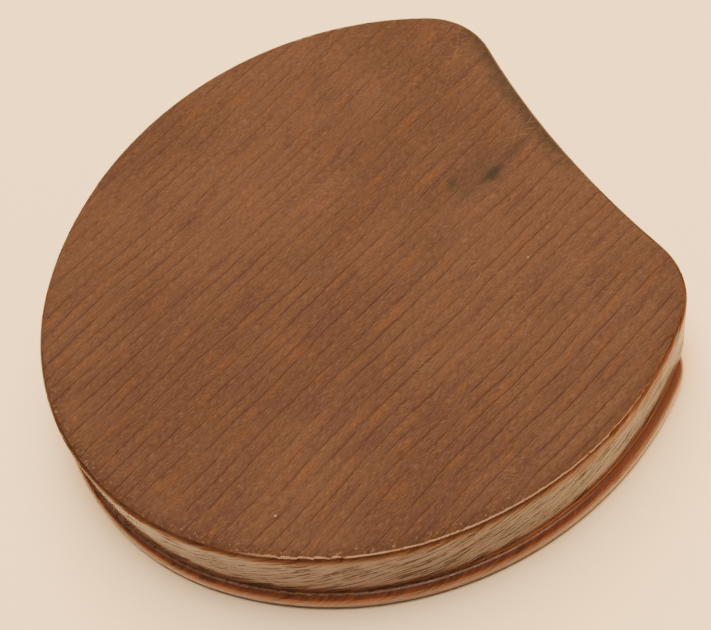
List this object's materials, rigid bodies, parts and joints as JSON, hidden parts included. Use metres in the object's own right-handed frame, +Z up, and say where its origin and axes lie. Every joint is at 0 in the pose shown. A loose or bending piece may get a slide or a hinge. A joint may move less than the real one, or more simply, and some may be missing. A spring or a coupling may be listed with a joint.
{
  "type": "card dealing shoe",
  "caption": "Round oak card dealing shoe with a concave dealing side, a cover that swings open on a beaded base board, and a sprung follower inside.",
  "frame": {"origin": "under the centre of the case's length and width, on the surface the base stands on", "axes": "+Z up through the flat top face, +X out of the concave dealing side, Y across the case"},
  "size_m": [0.164, 0.1706, 0.03],
  "materials": {
    "oak_base": "gloss",
    "oak_cover": "satin",
    "felt": "matte",
    "brass_inlay": "satin",
    "brass_screws": "satin",
    "brass_turned": "polished",
    "brass_sheet": "satin",
    "steel_screw": "satin",
    "steel_pin": "polished",
    "steel_keeper": "satin",
    "nickel_magnet": "polished",
    "spring_steel": "satin"
  },
  "bodies": {
    "base": {"base_board": "oak_base", "base_felt": "felt", "card_lip": "brass_inlay", "lip_screws": "brass_screws", "pivot_sleeve": "brass_turned", "stop_pin": "steel_pin", "keeper_discs": "steel_keeper", "keeper_screws": "steel_screw"},
    "cover": {"case_cover": "oak_cover", "throat_plate": "brass_inlay", "throat_screws": "brass_screws", "pivot_bush": "brass_turned", "pivot_screw": "steel_screw", "closing_magnets": "nickel_magnet", "follower_springs": "spring_steel", "spring_screws": "steel_screw", "follower_stops": "brass_inlay", "stop_screws": "brass_screws"},
    "follower": {"follower_plate": "brass_sheet", "follower_bar": "brass_sheet", "follower_rivets": "brass_turned"}
  },
  "joints": [
    {"name": "cover_swing", "type": "hinge", "parent": "base", "child": "cover", "pos_m": [-0.058, 0, 0.00645], "axis": [0, 0, 1], "range_deg": [0, 100]},
    {"name": "follower_slide", "type": "slide", "parent": "cover", "child": "follower", "axis": [0, 0, 1], "range_m": [0, 0.0158], "stiffness_N_per_m": 180, "springref_m": -0.012, "deforming": ["follower_springs"]}
  ]
}
